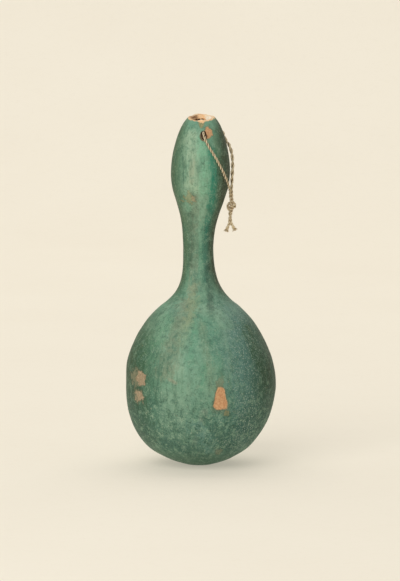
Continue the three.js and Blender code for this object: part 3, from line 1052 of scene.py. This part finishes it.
def make_shell():
    """The fine shell: grown from its outline, made uneven and bored for the string."""
    size = bpy.context.scene.gourd_size
    rows = outline_rows()
    points = [(r * MM, 0.0, z * MM) for r, z, _ in rows]
    outline = mesh_of("outline", points, (), [(i, i + 1) for i in range(len(rows) - 1)])
    for name, values in {
        "radius": [r * MM for r, _, _ in rows], "height": [z * MM for _, z, _ in rows],
        "bend_x": [bent(z)[0] * MM for _, z, _ in rows], "bend_y": [bent(z)[1] * MM for _, z, _ in rows],
        "lift": [lifted(z) for _, z, _ in rows], "zone": [zone for _, _, zone in rows],
    }.items():
        write_column(outline, name, values)
    shell = from_tree("gourd_shell_skin", "Gourd Growth", outline, {
        "Segments": size.segments, "Rings": len(rows), "Swelling": size.swelling,
        "Mouth Slant": math.tan(size.mouth_slant), "Mouth Wave": size.mouth_wave,
        "Skin": finish_named("worn_paint"),
    })
    mesh = shell.data
    zone = np.rint(read_all(mesh.attributes["zone"].data, "value", 1)[:, 0])
    co = read_all(mesh.vertices, "co", 3).astype(float)
    normal = read_all(mesh.vertices, "normal", 3).astype(float)
    # Which way each point faces sideways, read by the painted shade on the flanks.
    write_column(mesh, "flank", normal[:, 0])
    shift = np.array([unevenness(p, kind) for p, kind in zip(co * 1000.0, zone)])
    co += normal * shift[:, None] * MM
    co[zone == PITH] += torn_pith(co[zone == PITH])
    mesh.vertices.foreach_set("co", co.astype(np.float32).ravel())
    mesh.update()
    bore_holes(shell)
    paint_zones(shell.data)
    return shell


def bore_holes(shell):
    """Cuts both string holes, each a little worn open at the skin."""
    for number, (middle, out, half) in enumerate(HOLES):
        ahead = Vector(out).normalized()
        side = Vector((0.0, 0.0, 1.0)).cross(ahead).normalized()
        up = ahead.cross(side)
        points = []
        for depth, grow in BORE_LEVELS:
            centre = Vector(middle) + ahead * depth
            for k in range(BORE_SIDES):
                a = 2 * math.pi * k / BORE_SIDES
                grown = grow * (1 + 0.05 * math.sin(3 * a + number) + 0.03 * math.sin(7 * a + 2))
                wide, tall = half[0] * grown * math.cos(a), half[1] * grown * math.sin(a)
                points.append((centre + side * wide + up * tall) * MM)
        last = (len(BORE_LEVELS) - 1) * BORE_SIDES
        caps = [tuple(reversed(range(BORE_SIDES))), tuple(range(last, last + BORE_SIDES))]
        cutter = placed("cutter", mesh_of("cutter", points, quads(len(BORE_LEVELS), BORE_SIDES) + caps))
        cut = shell.modifiers.new("bore", "BOOLEAN")
        cut.operation = "DIFFERENCE"
        cut.solver = "EXACT"
        cut.object = cutter
        result = evaluated_mesh(shell)
        shell.modifiers.clear()
        shell.data = result
        bpy.data.objects.remove(cutter)
        if len(result.polygons) < FEWEST_FACES:
            raise RuntimeError("the string holes could not be bored")


def paint_zones(mesh):
    """Gives skin, sawn faces and pith their own finishes."""
    mesh.materials.clear()
    for name in ("worn_paint", "sawn_rind", "dried_pith"):
        mesh.materials.append(finish_named(name))
    zone = read_all(mesh.attributes["zone"].data, "value", 1)[:, 0]
    centres = read_all(mesh.polygons, "center", 3) * 1000.0
    normals = read_all(mesh.polygons, "normal", 3)
    slots = np.zeros(len(mesh.polygons), np.int32)
    for polygon in mesh.polygons:
        slots[polygon.index] = int(round(float(np.mean([zone[v] for v in polygon.vertices]))))
    for middle, out, half in HOLES:
        axis = np.array(Vector(out).normalized())
        off = centres - np.array(middle)
        deep = off @ axis
        sideways = np.linalg.norm(off - deep[:, None] * axis, axis=1)
        inward = np.abs(normals @ axis) < 0.75
        slots[(sideways < 1.3 * max(half)) & (deep > BARE_FROM) & (deep < BARE_TO) & inward] = SAWN
    mesh.polygons.foreach_set("material_index", slots)
    smooth_shaded(mesh)
    mesh.set_sharp_from_angle(angle=SHARP_TURN)
    mesh.attributes.remove(mesh.attributes["zone"])
    mesh.update()


def strand_line(alone, tail, side):
    """Centre line of one strand: alone from the head, beside the other through the knot, then its tail.

    Returns the line, and how far along it the strands meet.
    """
    spacing = bpy.context.scene.gourd_size.pair_spacing
    knot = [tuple(a + b for a, b in zip(p, KNOT_MIDDLE)) for p in KNOT_ROUTE]
    pair = evened(spline(knot + PAIR_END, 14), PAIR_STEP)
    tangent, _, _ = carried_frames(pair)
    out = (pair - np.array(KNOT_MIDDLE)) * (1.0, 1.0, 0.8)
    out /= np.maximum(np.linalg.norm(out, axis=1), 0.0012)[:, None]
    drop = KNOT_MIDDLE[2] - pair[:, 2]
    clear = smooth(np.abs(drop), 0.0030, 0.0052)[:, None]
    beside = np.cross(tangent, out * (1 - clear) + np.array((0.0, -1.0, 0.0)) * clear)
    s = along(pair)
    beside = np.exp(-0.5 * ((s[:, None] - s[None]) / 0.0022) ** 2) @ beside
    beside -= tangent * (beside * tangent).sum(1, keepdims=True)
    beside = unit(beside)
    turn = math.pi * smooth(drop, 0.0050, 0.0122)[:, None]
    beside = beside * np.cos(turn) + np.cross(tangent, beside) * np.sin(turn)
    wound = pair + beside * side * spacing / 2
    first = evened(spline(alone, 14), LEAD_STEP)
    first = first[first[:, 2] > alone[-1][2] + 0.0045]
    line = evened(spline(np.vstack([first, wound[2::3], tail]), 6), STRAND_STEP)
    return line, along(first)[-1]


def hemmed_in(points, places, line, other):
    """How closely each point of a strand is hemmed in by the other strand or its own further turns."""
    s = along(line)
    crease = np.zeros(len(points))
    for start in range(0, len(points), 1000):
        part = slice(start, start + 1000)
        own = np.linalg.norm(points[part, None] - line[None], axis=2)
        own[np.abs(s[places[part], None] - s[None]) < 0.0042] = 1.0
        far = np.linalg.norm(points[part, None] - other[None], axis=2).min(1)
        crease[part] = 1 - smooth(np.minimum(own.min(1), far), 0.0010, 0.0016)
    return crease


def make_strand(name, line, meeting, thick, pitch, groove_gain, other):
    """One string as two twisted plies swept along its centre line."""
    size = bpy.context.scene.gourd_size
    s = along(line)
    end = s[-1]
    share = smooth(s, meeting - 0.006, meeting + 0.002)
    radius = (thick * (1 - share) + size.knot_thickness * share) / 2
    radius *= 1 + 0.05 * np.sin(s / 0.0031) + 0.04 * np.sin(s / 0.0013 + 1)
    radius *= 1 + 0.4 * smooth(s, end - 0.008, end - 0.002)
    # The grooves fade towards the cut end: lighter painted shade and shallower relief there.
    groove_fade = 1 - 0.6 * smooth(s, end - 0.004, end)
    lay = pitch * (1 - share) + size.knot_pitch * share
    twist = np.r_[0, np.cumsum(2 * math.pi / ((lay[:-1] + lay[1:]) / 2) * np.diff(s))]
    _, sides, ups = carried_frames(line)
    turns = s * 1000 / 3
    points, places, faces, uvs, grooves = [], [], [], [], []
    for ply in range(2):
        swing = twist + ply * math.pi
        lean = np.cos(swing)[:, None] * sides + np.sin(swing)[:, None] * ups
        core = line + lean * (radius * PLY_OFFSET)[:, None]
        _, ply_side, ply_up = carried_frames(core)
        start = len(points)
        for i in range(len(line)):
            wobble = 1 + 0.05 * math.sin(s[i] / 0.0007 + 2 * ply)
            for k in range(PLY_SIDES):
                a = 2 * math.pi * k / PLY_SIDES
                ray = ply_side[i] * math.cos(a) + ply_up[i] * math.sin(a)
                rib = 1 + 0.045 * math.sin(4 * a + s[i] / 0.00042)
                inward = 0.5 - 0.5 * float(ray.dot(lean[i]))
                points.append(core[i] + ray * radius[i] * PLY_RADIUS * wobble * rib)
                places.append(i)
                grooves.append(inward * (1 + groove_gain * (1 - share[i])) * groove_fade[i])
        faces += quads(len(line), PLY_SIDES, start)
        for u, far_u in zip(turns, turns[1:]):
            for k in range(PLY_SIDES):
                v, far_v = k / PLY_SIDES, (k + 1) / PLY_SIDES
                uvs += [(u, v), (u, far_v), (far_u, far_v), (far_u, v)]
        for place, order in ((0, -1), (len(line) - 1, 1)):
            faces.append(tuple(start + place * PLY_SIDES + k for k in range(PLY_SIDES))[::order])
            uvs += [(turns[place], 0.5)] * PLY_SIDES
    mesh = mesh_of(name, points, faces)
    mesh.uv_layers.new(name="TwineUV").data.foreach_set("uv", np.array(uvs, np.float32).ravel())
    # How far each point faces into the groove between the plies, deeper on the front string: for the painted
    # shade and the relief there.
    write_column(mesh, "groove", grooves)
    # How closely each point in the knot is hemmed in: for the painted shade in its creases.
    write_column(mesh, "crease", hemmed_in(np.array(points), np.array(places), line, other) * share[places])
    mesh.materials.append(finish_named("two_ply_twine"))
    smooth_shaded(mesh)
    return placed(name, mesh)


def end_fray(name, line, radius, seed):
    """The teased-out fibres at a string's cut end."""
    end = Vector(line[-1])
    ahead = (end - Vector(line[-8])).normalized()
    side = ahead.cross(Vector((0.0, 1.0, 0.0))).normalized()
    up = ahead.cross(side)
    points = []
    for k in range(FRAY_FIBRES):
        a, r = FRAY_TURN * k, radius * math.sqrt((k + 0.5) / FRAY_FIBRES)
        points.append(end - ahead * FRAY_SINK + side * (r * math.cos(a)) + up * (r * math.sin(a)))
    values = {**FRAY, "Direction": ahead[:], "Seed": seed, "Finish": finish_named("twine_fibre")}
    return from_tree(name, "Frayed End", mesh_of(name + "_roots", points), values)


def mouth_band():
    """The strip of inner wall under the mouth from which torn fibres hang."""
    points = []
    for r, z in BAND_RINGS:
        bend_x, bend_y = bent(z)
        for k in range(BAND_SIDES):
            a = 2 * math.pi * k / BAND_SIDES
            x, y = r * math.cos(a) + bend_x, r * math.sin(a) + bend_y
            points.append((x * MM, y * MM, (z + lifted(z) * MOUTH_RISE * y) * MM))
    faces = [(a, d, c, b) for a, b, c, d in quads(len(BAND_RINGS), BAND_SIDES)]
    return mesh_of("mouth_band", points, faces)


def settle(piece, slot, *nodes):
    """Gives a piece its body and hides the solids that it stands for; the slot is not used."""
    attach(piece, "root")
    if nodes:
        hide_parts(*nodes)
    return piece


# Settings.

def colour(name, description, red, green, blue):
    """A colour setting, given as display values."""
    return FloatVectorProperty(name=name, description=description, subtype="COLOR", size=4,
                               default=tint(red, green, blue), min=0, max=1)


def metres(name, description, default, precision=5):
    """A length setting in metres."""
    return FloatProperty(name=name, description=description, unit="LENGTH", precision=precision,
                         default=default)


def angle(name, description, degrees):
    """An angle setting."""
    return FloatProperty(name=name, description=description, subtype="ANGLE", default=math.radians(degrees))


class GourdLook(bpy.types.PropertyGroup):
    """Colours of the gourd, its string and the ground."""
    paint_light: colour("Light Paint", "Palest blue-green of the worn paint", 134, 170, 144)
    paint_mid: colour("Paint", "Usual blue-green of the paint", 104, 151, 126)
    paint_deep: colour("Deep Paint", "Deepest, bluest places of the paint", 86, 126, 119)
    rind: colour("Bare Rind", "Tan rind where the paint has gone", 216, 172, 128)
    twine_light: colour("Light Twine", "Straw colour of the string", 238, 226, 194)
    twine_deep: colour("Deep Twine", "Darker fibres of the string", 192, 168, 128)
    ground: colour("Ground", "Pale ground and backdrop", 250, 243, 227)


class GourdSize(bpy.types.PropertyGroup):
    """Sizes of the gourd and its string."""
    segments: IntProperty(name="Segments", description="Faces round the shell", default=256, min=48, max=320)
    swelling: FloatProperty(
        name="Swelling", description="Depth of the three shallow swellings as a share of the radius",
        subtype="FACTOR", default=0.007, min=0, max=0.05)
    mouth_slant: angle("Mouth Slant", "Slant of the sawn mouth", 11)
    mouth_wave: metres("Mouth Wave", "Unevenness of the sawn mouth", 0.0003)
    front_thickness: metres("Front String", "Thickness of the taut front string", 0.0021)
    back_thickness: metres("Back String", "Thickness of the slack back string", 0.0028)
    knot_thickness: metres("String in Knot", "Thickness of each string in the knot", 0.0020)
    front_pitch: metres("Front Twist", "Length of one full turn of the plies at the front", 0.0070)
    back_pitch: metres("Back Twist", "Length of one full turn of the plies at the back", 0.0130)
    knot_pitch: metres("Knot Twist", "Length of one full turn of the plies in the knot", 0.0064)
    pair_spacing: metres("Pair Spacing", "Distance between the two strings in the knot", 0.0016)


class GourdStudio(bpy.types.PropertyGroup):
    """Camera and light."""
    elevation: angle("Camera Height", "How far the camera looks down", 7)
    distance: metres("Camera Distance", "Distance from camera to gourd", 4.0, 3)
    scale: metres("Picture Scale", "Width of the gourd's plane seen by one picture dot", 0.0008554, 6)
    key: FloatProperty(name="Main Light", description="Strength of the soft light from the upper left",
                       unit="POWER", default=60.0)
    fill: FloatProperty(name="Room Light", description="Strength of the even light all round",
                        subtype="FACTOR", default=0.30, min=0, max=2)


# Operators.

class GOURD_OT_camera(bpy.types.Operator):
    """Place the camera at the picture's viewing angle"""
    bl_idname = "gourd.camera"
    bl_label = "Place Camera"

    def execute(self, context):
        studio = context.scene.gourd_studio
        data = bpy.data.cameras.new("camera")
        data.sensor_fit = "VERTICAL"
        data.sensor_height = FILM
        data.lens = FILM * studio.distance / (studio.scale * IMAGE[1])
        data.clip_end = 40.0
        data.clip_start = 0.05
        camera = placed("camera", data)
        look = Vector((0.0, math.cos(studio.elevation), -math.sin(studio.elevation)))
        aim = Vector(((IMAGE[0] / 2 - AXIS_COLUMN) * studio.scale, 0.0, AIM_HEIGHT))
        camera.location = aim - look * studio.distance
        camera.rotation_euler = (math.pi / 2 - studio.elevation, 0.0, 0.0)
        context.scene.camera = camera
        return {"FINISHED"}


class GOURD_OT_string(bpy.types.Operator):
    """Build the twine loop, its knot and its frayed ends"""
    bl_idname = "gourd.string"
    bl_label = "Build String"

    def execute(self, context):
        size = context.scene.gourd_size
        front, front_joined = strand_line(FRONT_ROUTE, RIGHT_TAIL, 1)
        back, back_joined = strand_line(BACK_ROUTE, LEFT_TAIL, -1)
        jobs = (
            ("string_front", front, front_joined, size.front_thickness, size.front_pitch, 0.4, back,
             HOLES[0], "taut", 21),
            ("string_back", back, back_joined, size.back_thickness, size.back_pitch, 0.0, front,
             HOLES[1], "hanging", 37),
        )
        for name, line, meeting, thick, pitch, groove_gain, other, hole, lay, seed in jobs:
            strand = make_strand(name, line, meeting, thick, pitch, groove_gain, other)
            settle(strand, "twine", "string")
            fray = settle(end_fray(name + "_fray", line, size.knot_thickness * 0.5, seed), "twine")
            fuzz = settle(from_tree(name + "_fuzz", "Stray Fibres", strand.data.copy(), {
                **FUZZ, "Seed": seed + 1, "Finish": finish_named("twine_fibre"),
            }), "twine")
            [v * MM for v in hole[0]]
        return {"FINISHED"}


class GOURD_OT_shell(bpy.types.Operator):
    """Build the painted shell with its mouth and string holes"""
    bl_idname = "gourd.shell"
    bl_label = "Build Shell"

    def execute(self, context):
        settle(make_shell(), "painted_gourd_skin", "gourd_shell")
        return {"FINISHED"}


class GOURD_OT_mouth(bpy.types.Operator):
    """Hang torn pith fibres inside the mouth"""
    bl_idname = "gourd.mouth"
    bl_label = "Add Mouth Fibres"

    def execute(self, context):
        fibres = from_tree("mouth_fibres", "Stray Fibres", mouth_band(), {
            **TORN, "Seed": 5, "Finish": finish_named("pith_fibre"),
        })
        settle(fibres, "painted_gourd_skin")
        return {"FINISHED"}


class GOURD_OT_stage(bpy.types.Operator):
    """Lay the pale ground and backdrop and set the soft lights"""
    bl_idname = "gourd.stage"
    bl_label = "Set Stage"

    def execute(self, context):
        studio = context.scene.gourd_studio
        bend = GROUND_BACK
        turns = np.linspace(0.05, math.pi / 2, 24)
        sweep = [(bend + bend * math.sin(a), bend - bend * math.cos(a)) for a in turns]
        profile = [(GROUND_FRONT, 0.0), (bend, 0.0)] + sweep + [(2 * bend, BACKDROP_TOP)]
        points = [(x, y, z - GROUND_GAP) for y, z in profile for x in (-HALF_WIDTH, HALF_WIDTH)]
        faces = [(i, i + 1, i + 3, i + 2) for i in range(0, 2 * len(profile) - 2, 2)]
        mesh = mesh_of("ground", points, faces)
        mesh.materials.append(finish_named("pale_ground"))
        smooth_shaded(mesh)
        ground = placed("ground", mesh)
        for name, (place, width, share) in LIGHTS.items():
            self.light(name, place, width, studio.key * share)
        world = bpy.data.worlds.new("studio_air")
        world.use_nodes = True
        air = world.node_tree.nodes["Background"]
        air.inputs[0].default_value = COLOURS["studio air"]
        air.inputs[1].default_value = studio.fill
        context.scene.world = world
        context.scene.view_settings.view_transform = "Standard"
        return {"FINISHED"}

    def light(self, name, place, width, power):
        """A square soft light aimed at the gourd."""
        data = bpy.data.lights.new(name, "AREA")
        data.shape = "SQUARE"
        data.size = width
        data.energy = power
        data.color = LIGHT_COLOUR
        lamp = placed(name, data)
        lamp.location = place
        aim = Vector((0.0, place[1], 0.0)) if place[1] > 0 else Vector((0.0, 0.0, 0.15))
        lamp.rotation_euler = (aim - Vector(place)).to_track_quat("-Z", "Y").to_euler()


class GOURD_PT_panel(bpy.types.Panel):
    """Builds the gourd piece by piece"""
    bl_idname = "GOURD_PT_panel"
    bl_label = "Bottle Gourd"
    bl_space_type = "VIEW_3D"
    bl_region_type = "UI"
    bl_category = "Gourd"

    def draw(self, context):
        layout = self.layout
        for step in STEPS:
            layout.operator(step.bl_idname)
        for group, kind in SETTINGS.items():
            box = layout.box()
            for name in kind.__annotations__:
                box.prop(getattr(context.scene, group), name)


STEPS = (GOURD_OT_camera, GOURD_OT_string, GOURD_OT_shell, GOURD_OT_mouth, GOURD_OT_stage)
SETTINGS = {"gourd_size": GourdSize, "gourd_look": GourdLook, "gourd_studio": GourdStudio}
CLASSES = tuple(SETTINGS.values()) + STEPS + (GOURD_PT_panel,)


def register():
    for item in CLASSES:
        bpy.utils.register_class(item)
    for name, kind in SETTINGS.items():
        setattr(bpy.types.Scene, name, PointerProperty(type=kind))


def unregister():
    for name in SETTINGS:
        delattr(bpy.types.Scene, name)
    for item in reversed(CLASSES):
        bpy.utils.unregister_class(item)


def main():
    register()
    bpy.ops.gourd.camera()
    bpy.ops.gourd.string()
    bpy.ops.gourd.shell()
    bpy.ops.gourd.mouth()
    bpy.ops.gourd.stage()


if __name__ == "__main__":
    main()
